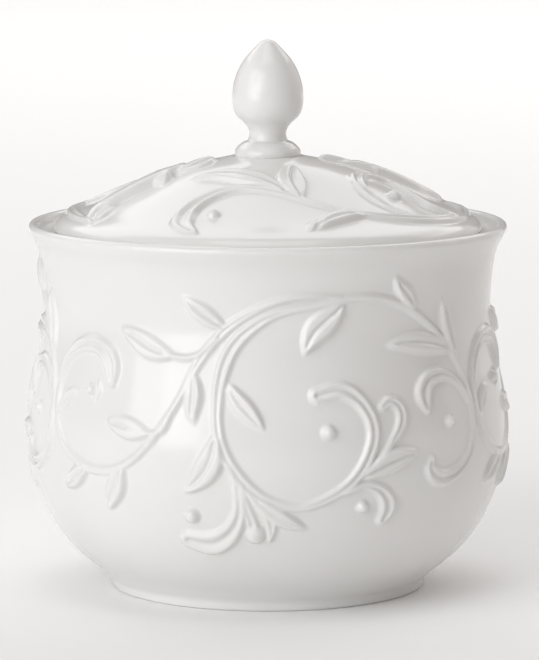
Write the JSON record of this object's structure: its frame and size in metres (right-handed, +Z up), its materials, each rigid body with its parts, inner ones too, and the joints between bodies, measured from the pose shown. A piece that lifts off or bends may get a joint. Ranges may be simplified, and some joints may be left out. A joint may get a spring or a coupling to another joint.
{
  "type": "covered sugar bowl",
  "caption": "Bellied glazed porcelain sugar bowl with raised vine scrolls, a flared lip, an inner ledge and a low domed lid that lifts off by its bud-shaped finial.",
  "frame": {"origin": "centre of the foot ring, on the surface that the bowl stands on", "axes": "+Z up along the axis of the bowl, lid and finial; -Y towards the front, where the long vine stem sweeps over from the left"},
  "size_m": [0.0978, 0.0978, 0.112],
  "materials": {
    "bowl_glaze": "clear gloss glaze over white porcelain",
    "lid_glaze": "clear gloss glaze over white porcelain",
    "finial_glaze": "clear gloss glaze over white porcelain"
  },
  "bodies": {
    "bowl": {"bowl": "bowl_glaze"},
    "lid": {"lid": "lid_glaze", "finial": "finial_glaze"}
  },
  "joints": [
    {"name": "lid_lift", "type": "slide", "parent": "bowl", "child": "lid", "axis": [0, 0, 1], "range_m": [0, 0.06]}
  ]
}
